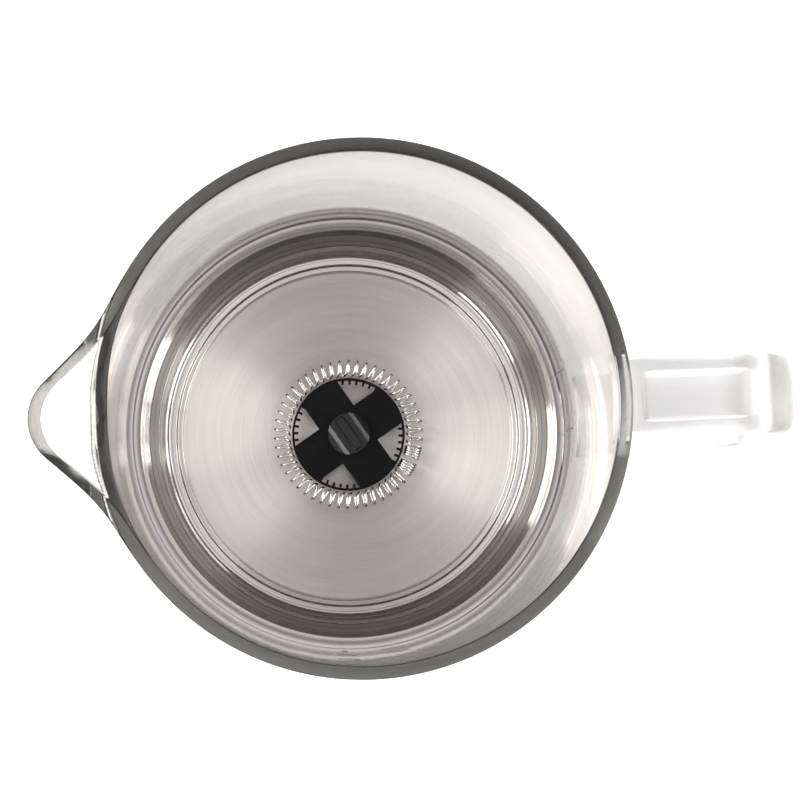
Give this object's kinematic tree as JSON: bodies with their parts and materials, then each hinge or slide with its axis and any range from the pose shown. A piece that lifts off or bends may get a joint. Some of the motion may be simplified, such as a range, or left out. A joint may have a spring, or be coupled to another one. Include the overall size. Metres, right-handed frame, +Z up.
{
  "type": "milk frother",
  "caption": "Clear milk jug with spout, handle, steel heating dish and magnetically driven coil whisk, on a round power base.",
  "frame": {"origin": "on the axis that the jug, whisk and motor share, at the underside of the base", "axes": "+Z up; +X towards the jug's handle, -X towards its spout; -Y towards the front of the base, where the buttons are"},
  "size_m": [0.1682, 0.1209, 0.168],
  "materials": {
    "jug_clear": "clear, polished",
    "dish_steel": "circular brushed",
    "base_steel": "satin, brushed round",
    "hardware_steel": "bright zinc or ground steel",
    "spring_wire": "bright drawn stainless wire",
    "black_plastic": "gloss to satin black",
    "grey_plastic": "satin light grey",
    "seal_silicone": "matt dark grey silicone",
    "foot_rubber": "matt",
    "copper": "enamelled copper winding",
    "ferrite": "matt sintered ferrite",
    "magnet_plate": "nickel plated",
    "bronze": "sintered bronze",
    "board": "green solder mask",
    "aluminium": "satin"
  },
  "bodies": {
    "base": {"base_sleeve": "base_steel", "motor_bracket": "hardware_steel", "cover_screw_1": "hardware_steel", "cover_screw_2": "hardware_steel", "cover_screw_3": "hardware_steel", "cover_screw_4": "hardware_steel", "sensor_spring": "spring_wire", "bottom_cover": "black_plastic", "cord_gland": "black_plastic", "motor_end_cap": "black_plastic", "filter_capacitor": "black_plastic", "tact_switch_1": "black_plastic", "tact_switch_2": "black_plastic", "tact_switch_3": "black_plastic", "base_top": "grey_plastic", "coil_bobbin": "grey_plastic", "foot_1": "foot_rubber", "foot_2": "foot_rubber", "foot_3": "foot_rubber", "foot_4": "foot_rubber", "induction_coil": "copper", "filter_choke": "copper", "ferrite_bar_1": "ferrite", "ferrite_bar_2": "ferrite", "ferrite_bar_3": "ferrite", "ferrite_bar_4": "ferrite", "stator_magnet_left": "ferrite", "stator_magnet_right": "ferrite", "motor_bush_lower": "bronze", "motor_bush_upper": "bronze", "control_board": "board", "button_board": "board", "motor_can": "aluminium", "heat_sink": "aluminium"},
    "drive": {"motor_shaft": "hardware_steel", "motor_armature": "copper", "magnet_carrier": "grey_plastic", "drive_magnet_1": "magnet_plate", "drive_magnet_2": "magnet_plate", "drive_magnet_3": "magnet_plate", "drive_magnet_4": "magnet_plate"},
    "mode_button_1": {"mode_button_1": "grey_plastic"},
    "mode_button_2": {"mode_button_2": "grey_plastic"},
    "mode_button_3": {"mode_button_3": "grey_plastic"},
    "sensor": {"sensor_button": "aluminium"},
    "jug": {"jug_body": "jug_clear", "heating_dish": "dish_steel", "jug_seal": "seal_silicone", "dish_collar": "base_steel", "whisk_spindle": "hardware_steel"},
    "bush": {"whisk_bush": "grey_plastic"},
    "whisk": {"whisk_carrier": "black_plastic", "whisk_coil": "spring_wire", "whisk_knob": "black_plastic", "whisk_magnet_1": "magnet_plate", "whisk_magnet_2": "magnet_plate", "whisk_magnet_3": "magnet_plate", "whisk_magnet_4": "magnet_plate"}
  },
  "joints": [
    {"name": "drive_spin", "type": "hinge", "parent": "base", "child": "drive", "pos_m": [0, 0, 0.03], "axis": [0, 0, 1], "continuous": true},
    {"name": "press_1", "type": "slide", "parent": "base", "child": "mode_button_1", "axis": [0, 1, 0], "range_m": [0, 0.001], "stiffness_N_per_m": 900},
    {"name": "press_2", "type": "slide", "parent": "base", "child": "mode_button_2", "axis": [0, 1, 0], "range_m": [0, 0.001], "stiffness_N_per_m": 900},
    {"name": "press_3", "type": "slide", "parent": "base", "child": "mode_button_3", "axis": [0, 1, 0], "range_m": [0, 0.001], "stiffness_N_per_m": 900},
    {"name": "sensor_travel", "type": "slide", "parent": "base", "child": "sensor", "axis": [0, 0, -1], "range_m": [0, 0.0015], "stiffness_N_per_m": 400, "deforming": ["sensor_spring"]},
    {"name": "jug_lift", "type": "slide", "parent": "base", "child": "jug", "axis": [0, 0, 1], "range_m": [0, 0.12]},
    {"name": "whisk_lift", "type": "slide", "parent": "jug", "child": "bush", "axis": [0, 0, 1], "range_m": [0, 0.13]},
    {"name": "whisk_spin", "type": "hinge", "parent": "bush", "child": "whisk", "pos_m": [0, 0, 0.06], "axis": [0, 0, 1], "continuous": true}
  ],
  "couplings": [
    {"joint": "whisk_spin", "follows": "drive_spin", "ratio": 1}
  ]
}
